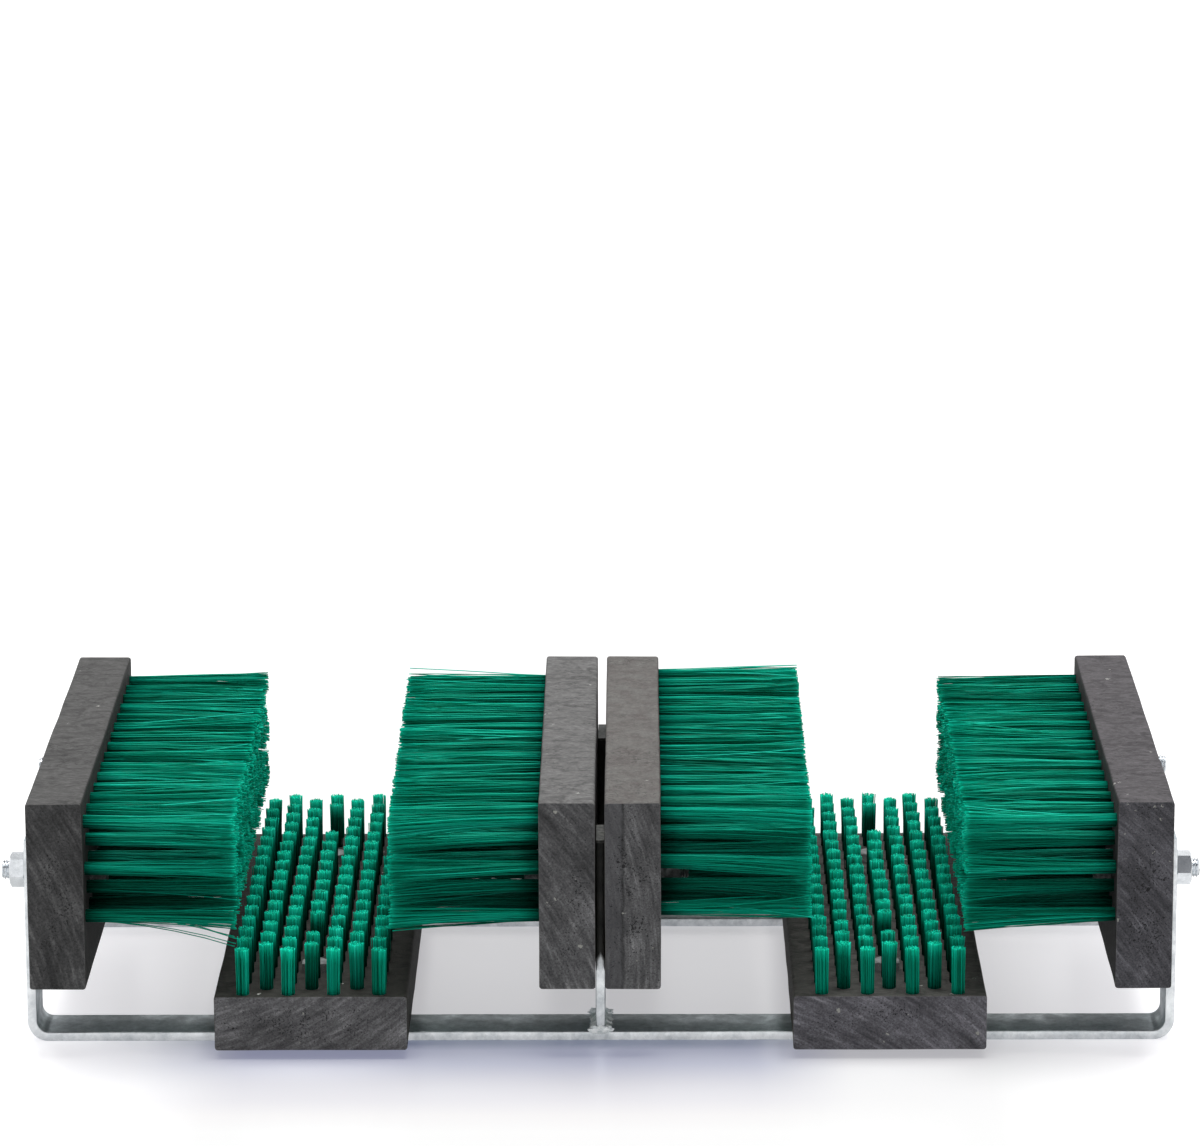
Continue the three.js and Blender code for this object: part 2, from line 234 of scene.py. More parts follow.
def noise_value(tree, place, scale, detail, roughness=0.6, distortion=0.0):
    """The value of a noise."""
    return shader_node(tree, "TexNoise", {
        "Vector": place, "Scale": scale, "Detail": detail, "Roughness": roughness,
        "Distortion": distortion}).outputs["Fac"]


def bumped(tree, height, strength, distance):
    """The surface's normal, made uneven by a height."""
    return shader_node(tree, "Bump", {
        "Strength": strength, "Distance": distance, "Height": height}).outputs["Normal"]


def new_group(name, inputs, outputs):
    """A group of nodes with its named inputs and their usual values, and its named outputs."""
    group = bpy.data.node_groups.new(name, "ShaderNodeTree")
    side = group.interface.new_socket
    for label, usual in inputs.items():
        side(label, in_out="INPUT", socket_type="NodeSocketFloat").default_value = usual
    for label in outputs:
        side(label, in_out="OUTPUT", socket_type="NodeSocketFloat")
    return (group, group.nodes.new("NodeGroupInput").outputs,
            group.nodes.new("NodeGroupOutput"))


def add_group(tree, group, **values):
    """Places a group in a material with its own values, and gives its outputs."""
    placed = tree.nodes.new("ShaderNodeGroup")
    placed.node_tree = group
    for key, value in values.items():
        placed.inputs[key.replace("_", " ")].default_value = value
    return placed.outputs


# The mottled spangle of a zinc coating, and its dull blotches
zinc_coat, given, result = new_group(
    "zinc_coat", {"Spangle Scale": 400, "Blotch Scale": 100}, ("Spangle", "Blotch"))
place = own_place(zinc_coat)
cells = shader_node(zinc_coat, "TexVoronoi", {"Vector": place, "Scale": given["Spangle Scale"]})
grey = shader_node(zinc_coat, "SeparateColor", {"Color": cells.outputs["Color"]}).outputs[0]
feed_all(zinc_coat, result, {
    "Spangle": grey,
    "Blotch": noise_value(zinc_coat, place, given["Blotch Scale"], 6.0, 0.66)})

# Where the edges of a piece are rubbed, with a painted highlight along them, broken up by its own
# grain
edge_wear_and_highlight, given, result = new_group(
    "edge_wear_and_highlight", {"Edge Width": 0.001, "Grain Scale": 300}, ("Wear",))
rounded = shader_node(edge_wear_and_highlight, "Bevel", {"Radius": given["Edge Width"]}, samples=6)
bent = shader_node(edge_wear_and_highlight, "VectorMath", {
    0: rounded.outputs["Normal"], 1: facing_of(edge_wear_and_highlight)}, operation="DOT_PRODUCT")
edge = between(edge_wear_and_highlight, bent.outputs["Value"], 0.995, 0.88)
grain = noise_value(edge_wear_and_highlight, own_place(edge_wear_and_highlight), given["Grain Scale"], 3.0, 0.5)
kept = between(edge_wear_and_highlight, grain, 0.38, 0.6, 0.25)
feed_all(edge_wear_and_highlight, result, {"Wear": product(edge_wear_and_highlight, edge, kept)})

galvanised, tree, shader = new_material("galvanised_steel")
coat = add_group(tree, zinc_coat, Spangle_Scale=420, Blotch_Scale=105)
wear_and_highlight = add_group(tree, edge_wear_and_highlight, Edge_Width=0.0012, Grain_Scale=260)["Wear"]
place = split(tree, own_place(tree))
normal = split(tree, facing_of(tree))
# Painted sheen and shade: faces towards the front and back get a paler coat and more metal than
# the broad faces
narrow = between(tree, value_of(tree, "ABSOLUTE", normal["Y"]), 0.3, 0.8)
dull = ramp(tree, coat["Blotch"], (0.3, (0.4, 0.46, 0.49)), (0.52, (0.58, 0.65, 0.69)),
            (0.7, (0.82, 0.9, 0.94)))
bright = ramp(tree, coat["Blotch"], (0.3, (0.6, 0.64, 0.67)), (0.6, (0.9, 0.93, 0.95)))
base = mixed(tree, narrow, dull, bright)
base = times(tree, base, ramp(tree, coat["Spangle"], (0.0, 0.9), (1.0, 1.0)))
# Rubbed edges, with a painted highlight along them, turn paler
base = mixed(tree, product(tree, wear_and_highlight, 0.6), base, (0.86, 0.88, 0.89))

# Between the two inner boards the coat is painted nearly black: painted shade deep in the narrow
# slot
slot_half = 0.004
sawn_tops_from = 0.1075
off_middle = value_of(tree, "ABSOLUTE", place["X"])
in_slot = value_of(tree, "LESS_THAN", off_middle, slot_half)
slot_edge = value_of(tree, "MULTIPLY_ADD", off_middle, 1.6, place["Z"])
painted_slot_shade = product(tree, between(tree, slot_edge, 0.0455, 0.049), in_slot)
painted_slot_shade = product(tree, painted_slot_shade, value_of(tree, "LESS_THAN", place["Z"], sawn_tops_from))
painted_slot_shade_colour = ramp(tree, coat["Blotch"], (0.3, (0.003, 0.004, 0.002)), (0.7, (0.024, 0.024, 0.014)))
base = mixed(tree, product(tree, painted_slot_shade, 0.97), base, painted_slot_shade_colour)

# Dirt dulls the sawn tops of the uprights between the boards, the rear one darker still, and the
# rear bar's top is painted darker with painted shade
behind = value_of(tree, "GREATER_THAN", place["Y"], 0.0)
sawn_top = product(tree, in_slot, value_of(tree, "GREATER_THAN", place["Z"], sawn_tops_from))
painted_rear_top_shade = product(tree, value_of(tree, "GREATER_THAN", normal["Z"], 0.7), behind)
grime_and_painted_shade = value_of(tree, "MAXIMUM", sawn_top, product(tree, painted_rear_top_shade, 0.62))
clods = noise_value(tree, own_place(tree), 520.0, 4.0, 0.5)
grime_and_painted_shade_colour = ramp(tree, clods, (0.38, (0.06, 0.06, 0.05)),
             (0.52, (0.15, 0.15, 0.132)), (0.66, (0.3, 0.3, 0.275)))
far_top = product(tree, sawn_top, behind)
grime_and_painted_shade_colour = times(tree, grime_and_painted_shade_colour, ramp(tree, far_top, (0.0, 1.0), (1.0, (0.3, 0.3, 0.27))))
metal = mixed(tree, narrow, (0.55, 0.55, 0.55), (0.92, 0.92, 0.92))
feed_all(tree, shader, {
    "Base Color": mixed(tree, product(tree, grime_and_painted_shade, 0.92), base, grime_and_painted_shade_colour),
    "Metallic": mixed(tree, value_of(tree, "MAXIMUM", painted_slot_shade, grime_and_painted_shade), metal, (0.0, 0.0, 0.0)),
    "Roughness": ramp(tree, coat["Blotch"], (0.3, 0.54), (0.7, 0.32)),
    "Normal": bumped(tree, coat["Blotch"], 0.3, 0.0004)})


def skin(rings, with_ends=True):
    """Points and faces of a surface through rings of points that all turn the same way. It
    has a face at each end, or else it runs on from the last ring to the first."""
    count = len(rings[0])
    last = (len(rings) - 1) * count
    vertices = [point for ring in rings for point in ring]
    faces = []
    for start in range(0, last, count):
        for column in range(count):
            after = (column + 1) % count
            faces.append((start + column, start + after,
                          start + count + after, start + count + column))
    if with_ends:
        faces.append(tuple(reversed(range(count))))
        faces.append(tuple(range(last, last + count)))
    else:
        for column in range(count):
            after = (column + 1) % count
            faces.append((last + column, last + after, after, column))
    return vertices, faces


def ride_as(piece, replaced):
    """Fixes a piece to the frame, and hides the node that it replaces."""
    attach(piece, "root")
    if replaced:
        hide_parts(replaced)


def show(name, vertices, faces, material, slot, replaced=None, sharp_above=35):
    """A piece of the object from its points and faces, riding on the frame."""
    mesh = bpy.data.meshes.new(name)
    mesh.from_pydata([tuple(v) for v in vertices], [], faces)
    mesh.validate()
    mesh.update()
    mesh.materials.append(material)
    if sharp_above:
        mesh.shade_smooth()
        mesh.set_sharp_from_angle(angle=math.radians(sharp_above))
    piece = linked(name, mesh)
    ride_as(piece, replaced)
    return piece


def rounded_section(width, thickness, radius):
    """Points round a flat bar's section, with rolled corners: across, and through."""
    steps = 3
    points = []
    for quarter, (sx, sy) in enumerate(((1, 1), (-1, 1), (-1, -1), (1, -1))):
        for step in range(steps + 1):
            turn = math.radians(90 * (quarter + step / steps))
            points.append((sx * (width / 2 - radius) + radius * math.cos(turn),
                           sy * (thickness / 2 - radius) + radius * math.sin(turn)))
    return points


def flat_bar(name, path, middle_y, replaced):
    """Flat bar along a path of (x, z, normal x, normal z), its width along Y."""
    burr = 0.8 * MM
    waves, unevenness = 45, 0.00012
    section = rounded_section(bar_width, bar_thickness, 0.9 * MM)
    inset = rounded_section(bar_width - burr, bar_thickness - burr, 0.5 * MM)
    rings = []
    for index, (x, z, nx, nz) in enumerate(path):
        ring = []
        for across, through in inset if index in (0, len(path) - 1) else section:
            point = Vector((x + nx * through, middle_y + across, z + nz * through))
            wobble = noise.noise(point * waves) * unevenness
            point = point + Vector((nx, 0, nz)) * wobble
            ring.append(Vector((min(max(point.x, -frame_half), frame_half), point.y,
                                max(point.z, 0.0))))
        rings.append(ring)
    return show(name, *skin(rings), galvanised, "galvanised_steel", replaced)


def cut_holes(piece, cutters, sides=24):
    """Drills the piece: each cutter is (end point, end point, radius)."""
    drill = bmesh.new()
    for start, end, radius in cutters:
        start, end = Vector(start), Vector(end)
        along = end - start
        turned = along.to_track_quat("Z", "Y").to_matrix().to_4x4()
        bmesh.ops.create_cone(
            drill, cap_ends=True, segments=sides, radius1=radius, radius2=radius,
            depth=along.length, matrix=Matrix.Translation((start + end) / 2) @ turned)
    drill_mesh = bpy.data.meshes.new("drill")
    drill.to_mesh(drill_mesh)
    drill.free()
    drill_piece = linked("drill", drill_mesh)
    cut = piece.modifiers.new("holes", "BOOLEAN")
    cut.object = drill_piece
    cut.operation = "DIFFERENCE"
    cut.solver = "EXACT"
    bpy.context.view_layer.update()
    evaluated = piece.evaluated_get(bpy.context.evaluated_depsgraph_get())
    drilled = bpy.data.meshes.new_from_object(evaluated)
    piece.modifiers.clear()
    old = piece.data
    piece.data = drilled
    bpy.data.meshes.remove(old)
    bpy.data.objects.remove(drill_piece)
    bpy.data.meshes.remove(drill_mesh)


def middle_of(node, axis):
    """The middle of a solid along one axis."""
    low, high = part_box(node)
    return (low[axis] + high[axis]) / 2


bar_thickness = 5 * MM
bar_width = 30 * MM
frame_half = 300 * MM
bend_middle = 8.5 * MM
base_bolt_hole = 4.5 * MM
base_bolts_x = 0.15
drill_spare = 0.002
upright_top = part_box("front_frame_bar")[1][2]
bar_y = {end: middle_of(f"{end}_frame_bar", 1) for end in ("front", "rear")}


def frame_path():
    """The middle of the bar's thickness, from the top of one upright to the top of the other."""
    middle = bar_thickness / 2
    reach = frame_half - middle
    corner = reach - bend_middle
    straight_steps, bend_steps, floor_steps = 10, 12, 48
    path = []
    for step in range(straight_steps + 1):
        z = upright_top + (bend_middle + middle - upright_top) * step / straight_steps
        path.append((-reach, z, -1.0, 0.0))
    for step in range(1, bend_steps):
        turn = math.radians(180 + 90 * step / bend_steps)
        path.append((-corner + bend_middle * math.cos(turn),
                     middle + bend_middle + bend_middle * math.sin(turn),
                     math.cos(turn), math.sin(turn)))
    left_side = path[::-1]
    for step in range(floor_steps + 1):
        path.append((-corner + 2 * corner * step / floor_steps, middle, 0.0, -1.0))
    return path + [(-x, z, -nx, nz) for x, z, nx, nz in left_side]


for end in ("front", "rear"):
    bar = flat_bar(f"{end}_bar", frame_path(), bar_y[end], f"{end}_frame_bar")
    cut_holes(bar, [((x, bar_y[end], -drill_spare), (x, bar_y[end], bar_thickness + drill_spare),
                     base_bolt_hole) for x in (-base_bolts_x, base_bolts_x)])


# The centre uprights are the same flat bar, sawn to length and stood on the frame bar. Each
# is welded along both sides of its foot, with a lumpy bead that runs out past the bar's edges.

for end in ("front", "rear"):
    steps = 12
    rise = upright_top - bar_thickness
    path = [(0.0, bar_thickness + rise * step / steps, 1.0, 0.0) for step in range(steps + 1)]
    flat_bar(f"{end}_upright", path, bar_y[end], f"{end}_centre_upright")

weld_zinc, tree, shader = new_material("weld_zinc")
coat = add_group(tree, zinc_coat, Spangle_Scale=700, Blotch_Scale=330)
feed_all(tree, shader, {
    "Base Color": ramp(tree, coat["Blotch"], (0.34, (0.58, 0.64, 0.66)),
                       (0.58, (0.93, 0.96, 0.97))),
    "Metallic": 0.75,
    "Roughness": ramp(tree, coat["Blotch"], (0.3, 0.66), (0.7, 0.4)),
    "Normal": bumped(tree, coat["Blotch"], 0.4, 0.0004)})


def weld_bead(name, middle_y, side, seed):
    """A hollow fillet along Y in the corner between upright and bar, rippled and lumpy."""
    rows, columns = 60, 10
    length = 31.6 * MM
    sunk = 0.0003
    corner_x, corner_z = side * bar_thickness / 2, bar_thickness
    rings = []
    for row in range(rows + 1):
        t = row / rows
        y = middle_y - length / 2 + length * t
        lump = noise.noise(Vector((seed * 3.1, t * 9, 0)))
        spread = noise.noise(Vector((seed * 5.7, t * 6, 4)))
        ripple = 0.12 * abs(math.sin(math.pi * t * 13))
        end_taper = min(1.0, math.sqrt(max(0.0, 1 - abs(2 * t - 1) ** 11)) + 0.02)
        up = (3.2 + 1.0 * lump + ripple) * MM * end_taper
        out = (5.0 + 1.3 * spread + ripple) * MM * end_taper
        ring = []
        for column in range(columns + 1):
            u = column / columns
            uneven = 0.22 * MM * noise.noise(Vector((seed * 2.0 + u * 3, t * 12, 8))) * end_taper
            ring.append((corner_x + side * (out * (1 - u) ** 1.5 + uneven - sunk),
                         y, corner_z + up * u ** 1.5 + uneven - sunk))
        ring.append((corner_x - side * 0.0005, y, corner_z - 0.0005))
        rings.append(ring)
    vertices, faces = skin(rings)
    if side > 0:
        faces = [face[::-1] for face in faces]
    show(name, vertices, faces, weld_zinc, "galvanised_steel", sharp_above=60)


def weld_toe(name, edge_y, seed):
    """The lump where a bead runs round the foot of the upright, over the bar's narrow edge."""
    rows, around = 14, 22
    rings = []
    for row in range(rows + 1):
        rise = math.pi * row / rows
        ring = []
        for column in range(around):
            turn = 2 * math.pi * column / around
            way = Vector((math.sin(rise) * math.cos(turn), math.sin(rise) * math.sin(turn),
                          math.cos(rise)))
            uneven = 1 + 0.5 * noise.noise(way * 3.4 + Vector((seed, 0, 0)))
            ring.append((way.x * 6.0 * MM * uneven, edge_y + way.y * 0.9 * MM,
                         bar_thickness + (0.9 + way.z * 2.2 * uneven) * MM))
        rings.append(ring)
    vertices, faces = skin(rings)
    faces = [(a, d, c, b) for a, b, c, d in faces[:-2]]
    show(name, vertices, faces, weld_zinc, "galvanised_steel", sharp_above=None)


for end in ("front", "rear"):
    for side_name, side in (("left", -1), ("right", 1)):
        weld_bead(f"{end}_{side_name}_weld", bar_y[end], side, 11 + side + 7 * (end == "rear"))
    for face_name, out in (("fore", -1), ("back", 1)):
        weld_toe(f"{end}_{face_name}_weld_toe", bar_y[end] + out * bar_width / 2,
                 3 + out + 5 * (end == "rear"))


# The boards are one recycled plastic plank, sawn into lengths: dark grey all through, with
# rounded long edges, a planed skin on the four long faces and arcs of saw marks on the ends.

def attribute(tree, label, output="Fac"):
    """A value, or a vector, that each point of a mesh keeps."""
    return shader_node(tree, "Attribute", attribute_name=label).outputs[output]


def scattered(tree, place, scale):
    """How far a point is from the middle of its cell, and a chance value for each cell."""
    cells = shader_node(tree, "TexVoronoi", {"Vector": place, "Scale": scale}).outputs
    chance = shader_node(tree, "TexWhiteNoise", {"Vector": cells["Position"]})
    return cells["Distance"], chance.outputs["Value"]


recycled, tree, shader = new_material("recycled_plastic")
place = attribute(tree, "plank_place", "Vector")
seam = attribute(tree, "seam")
gritty = attribute(tree, "gritty")
core = split(tree, place)
normal = split(tree, facing_of(tree))
sawn = between(tree, value_of(tree, "ABSOLUTE", normal["Y"]), 0.55, 0.85)

# Planed faces: fine grain, wrinkles and a few dark creases. The plank with a seam is smoother
wide = shader_node(tree, "Mapping", {"Vector": place, "Scale": (0.55, 1.0, 0.55)}).outputs[0]
grain = mixed(tree, seam, noise_value(tree, wide, 650, 8, 0.7),
              noise_value(tree, place, 430, 7, 0.8))
planed_tone = ramp(tree, grain, (0.3, 0.096), (0.5, 0.163), (0.72, 0.262))
wrinkle = ramp(tree, noise_value(tree, wide, 120, 4, 0.6, 1.6),
               (0.36, 0.64), (0.5, 1.0), (0.64, 1.2))
even = ramp(tree, noise_value(tree, place, 95, 5, 0.7), (0.36, (0.84, 0.78, 0.77)),
            (0.64, (1.14, 1.14, 1.11)))
planed_tone = times(tree, planed_tone, mixed(tree, seam, wrinkle, even))
fold = value_of(tree, "ABSOLUTE", value_of(
    tree, "SUBTRACT", noise_value(tree, place, 90, 2, 0.5, 2.0), 0.5))
crease = product(tree, between(tree, fold, 0.0, 0.035, 1.0, 0.0),
                 between(tree, noise_value(tree, place, 31, 2), 0.5, 0.62))
planed_tone = times(tree, planed_tone, ramp(tree, crease, (0.0, 1.0), (1.0, 0.52)))
planed_tone = times(tree, planed_tone, attribute(tree, "planed_tint_and_painted_shade", "Vector"))

# Sawn ends: arcs of saw marks over broad bands, torn grain and pores towards the core
turned = shader_node(tree, "VectorRotate", {
    "Vector": place, "Angle": attribute(tree, "saw_slant")}, rotation_type="Y_AXIS")
across = split(tree, turned.outputs[0])
bowed = value_of(tree, "MULTIPLY_ADD", product(tree, across["X"], across["X"]), 2.4, across["Z"])
arc_place = shader_node(tree, "CombineXYZ", {
    "X": product(tree, across["X"], 0.13), "Y": product(tree, across["Y"], 0.2),
    "Z": bowed}).outputs[0]
streaks = noise_value(tree, arc_place, 420, 5, 0.62)
sawn_tone = ramp(tree, streaks, (0.3, (0.062, 0.062, 0.065)), (0.5, (0.109, 0.109, 0.113)),
                 (0.62, (0.155, 0.155, 0.16)), (0.74, (0.265, 0.265, 0.27)))
for patches, dark, pale in ((noise_value(tree, arc_place, 70, 2), 0.8, 1.22),
                            (noise_value(tree, place, 60, 3), 0.76, 1.24),
                            (noise_value(tree, place, 1100, 4, 0.7), 0.6, 1.42)):
    sawn_tone = times(tree, sawn_tone, ramp(tree, patches, (0.34, dark), (0.66, pale)))
faded = ramp(tree, between(tree, core["Z"], -0.05, 0.05),
             (0.0, 1.12), (0.45, 1.18), (0.62, 0.86), (1.0, 0.74))
sawn_tone = times(tree, sawn_tone, mixed(
    tree, attribute(tree, "end_fade"), (1.0, 1.0, 1.0), faded))

# One end has a dark seam, where two flows of the melt met, and is smoother on one side of it
winding = product(tree, noise_value(tree, place, 75, 4), 0.0042)
seam_at = value_of(tree, "ADD", value_of(tree, "ADD", core["X"], winding), 0.0031)
smooth_side = product(tree, between(tree, seam_at, -0.0007, 0.0003, 0.55, 0.0), seam)
sawn_tone = mixed(tree, smooth_side, sawn_tone, (0.088, 0.088, 0.095))
seam_mark = between(tree, value_of(tree, "ABSOLUTE", seam_at), 0.0, 0.0014, 1.0, 0.0)
seam_mark = product(tree, seam_mark, seam)
sawn_tone = times(tree, sawn_tone, ramp(tree, seam_mark, (0.0, 1.0), (1.0, 0.42)))
sawn_tone = times(tree, sawn_tone, attribute(tree, "sawn_tint", "Vector"))

# The pores are densest in the core, and one plank has larger ones
off_core = []
for axis, tightness in (("X", 75.0), ("Z", 20.0)):
    away = value_of(tree, "ABSOLUTE", product(tree, core[axis], tightness))
    off_core.append(value_of(tree, "POWER", away, 2.0))
spongy = product(tree, between(tree, value_of(tree, "ADD", *off_core), 0.15, 1.1, 1.0, 0.22),
                 between(tree, noise_value(tree, place, 95, 3), 0.4, 0.62, 0.25, 1.0))
fine_hole = value_of(tree, "GREATER_THAN", value_of(
    tree, "MULTIPLY_ADD", spongy, 0.14, noise_value(tree, place, 900, 3, 0.65)), 0.685)
distance, chance = scattered(tree, place, 300.0)
hole_size = product(tree, spongy, ramp(tree, chance, (0.8, 0.0), (0.95, 0.18), (1.0, 0.42)))
hole_size = product(tree, hole_size, ramp(tree, gritty, (0.0, 1.0), (1.0, 1.5)))
pore = value_of(tree, "MAXIMUM", fine_hole, value_of(tree, "LESS_THAN", distance, hole_size))
pore = product(tree, pore, sawn)
tone = mixed(tree, sawn, planed_tone, sawn_tone)
tone = mixed(tree, product(tree, pore, 0.85), tone, (0.012, 0.012, 0.013))

# Whitish specks are bits of other plastic in the melt, with a cluster of crumbs in one plank
jitter = shader_node(tree, "TexNoise", {"Vector": place, "Scale": 700.0, "Detail": 2.0})
jitter = shader_node(tree, "VectorMath", {0: jitter.outputs["Color"], 1: (0.0045,) * 3, 2: place},
                     operation="MULTIPLY_ADD").outputs[0]
distance, chance = scattered(tree, jitter, 135.0)
speck = value_of(tree, "LESS_THAN", distance, ramp(tree, chance, (0.8, 0.0), (1.0, 0.15)))
distance, chance = scattered(tree, jitter, 480.0)
cluster = product(tree, between(tree, noise_value(tree, place, 85, 2), 0.44, 0.6),
                  between(tree, core["Z"], 0.0, 0.022))
cluster = product(tree, cluster, product(tree, gritty, sawn))
crumb = value_of(tree, "LESS_THAN", distance, product(
    tree, cluster, ramp(tree, chance, (0.62, 0.0), (1.0, 0.38))))
speck = value_of(tree, "MAXIMUM", speck, crumb)
tone = mixed(tree, product(tree, speck, 0.85), tone, (0.5, 0.5, 0.47))

# The face with the tufts is painted darker: painted shade where the bristles keep the light off.
# The long edges are scuffed paler, with a painted highlight along them
painted_bay_shade = between(tree, product(tree, normal["X"], attribute(tree, "bay_side")), 0.55, 0.85)
tone = times(tree, tone, ramp(tree, painted_bay_shade, (0.0, 1.0), (1.0, 0.27)))
wear_and_highlight = add_group(tree, edge_wear_and_highlight, Edge_Width=0.0011, Grain_Scale=420)["Wear"]
relief = value_of(tree, "ADD", mixed(tree, sawn, grain, streaks), product(tree, pore, -1.2))
relief = value_of(tree, "SUBTRACT", relief, product(tree, crease, 0.5))
feed_all(tree, shader, {
    "Base Color": mixed(tree, product(tree, wear_and_highlight, 0.45), tone, (0.25, 0.247, 0.243)),
    "Specular IOR Level": 0.22,
    "Roughness": ramp(tree, grain, (0.3, 0.66), (0.7, 0.82)),
    "Normal": bumped(tree, relief, 0.45, 0.0006)})

# Each plank's tint on its planed faces, with painted shade in it (the outer boards darker than
# the inner ones, and the base boards much darker, as painted shadow of boots standing on them),
# its tint on its sawn ends, the slant of its saw marks in degrees, how far the upper half of its
# ends is darker, and whether they show a seam or grit
PLANKS = {
    "left_outer": ((0.574, 0.566, 0.558), (0.8, 0.8, 0.8), -68, 0.0, 0.0, 0.0),
    "left_inner": ((0.94, 0.93, 0.92), (1.11, 1.11, 1.13), -58, 1.0, 0.0, 0.0),
    "left_base": ((0.21, 0.205, 0.18), (1.3, 1.29, 1.33), 62, 0.0, 0.0, 0.0),
    "right_inner": ((0.88, 0.86, 0.835), (1.17, 1.17, 1.19), -80, 0.0, 1.0, 0.0),
    "right_outer": ((0.59, 0.55, 0.585), (1.01, 0.995, 1.1), -50, 0.0, 0.0, 1.0),
    "right_base": ((0.38, 0.37, 0.34), (1.33, 1.3, 1.44), -58, 0.0, 0.0, 0.0)}


def mark(mesh, label, values, kind="FLOAT"):
    """Keeps a value, or a vector, with each point of a mesh, for its material."""
    stored = mesh.attributes.new(label, kind, "POINT").data
    stored.foreach_set("value" if kind == "FLOAT" else "vector", values)


def plank(which, holes, bay_side):
    """A sawn plank in the place of its solid, with rounded edges, drilled as listed. It keeps
    its own tints and the slant of its saw marks, and each point its place in the plank."""
    planed_tint_and_painted_shade, sawn_tint, slant, end_fade, seam, gritty = PLANKS[which]
    slant = math.radians(slant)
    long_edge, sawn_edge, cell_size = 1.6 * MM, 0.45 * MM, 9 * MM
    waves, unevenness = 28, 0.00035
    low, high = (Vector(corner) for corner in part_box(f"{which}_board"))
    size = high - low
    middle = (low + high) / 2
    build = bmesh.new()
    bmesh.ops.create_cube(build, size=1.0)
    for vertex in build.verts:
        vertex.co = Vector((vertex.co[i] * size[i] for i in range(3))) + middle
    long_edges = [e for e in build.edges if abs((e.verts[0].co - e.verts[1].co).y) > size.y * 0.9]
    bmesh.ops.bevel(build, geom=long_edges, offset=long_edge, segments=4, profile=0.5,
                    affect="EDGES")
    end_edges = [e for e in build.edges if e.calc_face_angle(0) > 1.2]
    bmesh.ops.bevel(build, geom=end_edges, offset=sawn_edge, segments=2, profile=0.5,
                    affect="EDGES")
    for axis in range(3):
        cells = max(1, round(size[axis] / cell_size))
        for cell in range(1, cells):
            plane_co, plane_no = [0, 0, 0], [0, 0, 0]
            plane_co[axis] = low[axis] + size[axis] * cell / cells
            plane_no[axis] = 1
            bmesh.ops.bisect_plane(build, geom=build.verts[:] + build.edges[:] + build.faces[:],
                                   plane_co=plane_co, plane_no=plane_no)
    for vertex in build.verts:
        shift = noise.noise_vector((vertex.co + Vector((slant, 0, 0))) * waves) * unevenness
        moved = vertex.co + shift
        vertex.co = Vector((min(max(moved[i], low[i]), high[i]) for i in range(3)))
    mesh = bpy.data.meshes.new(f"{which}_plank")
    build.to_mesh(mesh)
    build.free()
    mesh.materials.append(recycled)
    piece = linked(f"{which}_plank", mesh)
    cut_holes(piece, holes, sides=14)
    mesh = piece.data
    mesh.shade_smooth()
    mesh.set_sharp_from_angle(angle=math.radians(40))
    lying = size.x > size.z
    places = []
    for vertex in mesh.vertices:
        x, y, z = vertex.co - middle
        places += (z, y + slant, x) if lying else (x, y + slant, z)
    mark(mesh, "plank_place", places, "FLOAT_VECTOR")
    count = len(mesh.vertices)
    for label, value in (("saw_slant", slant), ("bay_side", bay_side), ("end_fade", end_fade),
                         ("seam", seam), ("gritty", gritty)):
        mark(mesh, label, [value] * count)
    for label, tint in (("planed_tint_and_painted_shade", planed_tint_and_painted_shade), ("sawn_tint", sawn_tint)):
        mark(mesh, label, list(tint) * count, "FLOAT_VECTOR")
    ride_as(piece, f"{which}_board")


tuft_hole, tuft_depth, proud = 3.5 * MM, 0.012, 0.001
side_bolt_hole = 5.5 * MM
bolt_z = middle_of("left_front_washer", 2)
bolts_at = (bar_y["front"], bar_y["rear"])
LIFT = {"left_outer": 0.0, "left_inner": 0.0, "right_inner": 3.5 * MM, "right_outer": 0.0}


def side_tufts(lift):
    """Places (y, z, line) of a side board's tufts: columns of three and of two by turns. On
    one board the drill stood higher, and wandered a little on the lowest lines by the bolts."""
    board_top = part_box("left_outer_board")[1][2]
    columns, first_column, column_gap = 29, -140, 10
    lines, first_line, line_gap = 5, 12, 12.7
    bolt_clearance = 14.3 * MM
    places = []
    for column in range(columns):
        y = (first_column + column_gap * column) * MM
        for line in range(column % 2, lines, 2):
            z = board_top - (first_line + line_gap * line) * MM + lift
            if all(math.hypot(y - bolt_y, z - bolt_z) > bolt_clearance for bolt_y in bolts_at):
                if lift and line > 2 and min(abs(y - bolt_y) for bolt_y in bolts_at) < 30 * MM:
                    z += (0.5 if line == 4 else -2.6) * MM
                places.append((y, z, line))
    return places


def base_tufts(middle_x):
    """Places (x, y) of a base board's tufts: rows of four and of three by turns."""
    rows, rows_span, tuft_gap = 32, 288, 23.5
    bolt_clearance = 11.5 * MM
    places = []
    for row in range(rows):
        y = (rows_span * row / (rows - 1) - rows_span / 2) * MM
        across = 4 - row % 2
        for index in range(across):
            x = (index - (across - 1) / 2) * tuft_gap * MM
            if all(math.hypot(x, y - bolt_y) > bolt_clearance for bolt_y in bolts_at):
                places.append((middle_x + x, y))
    return places


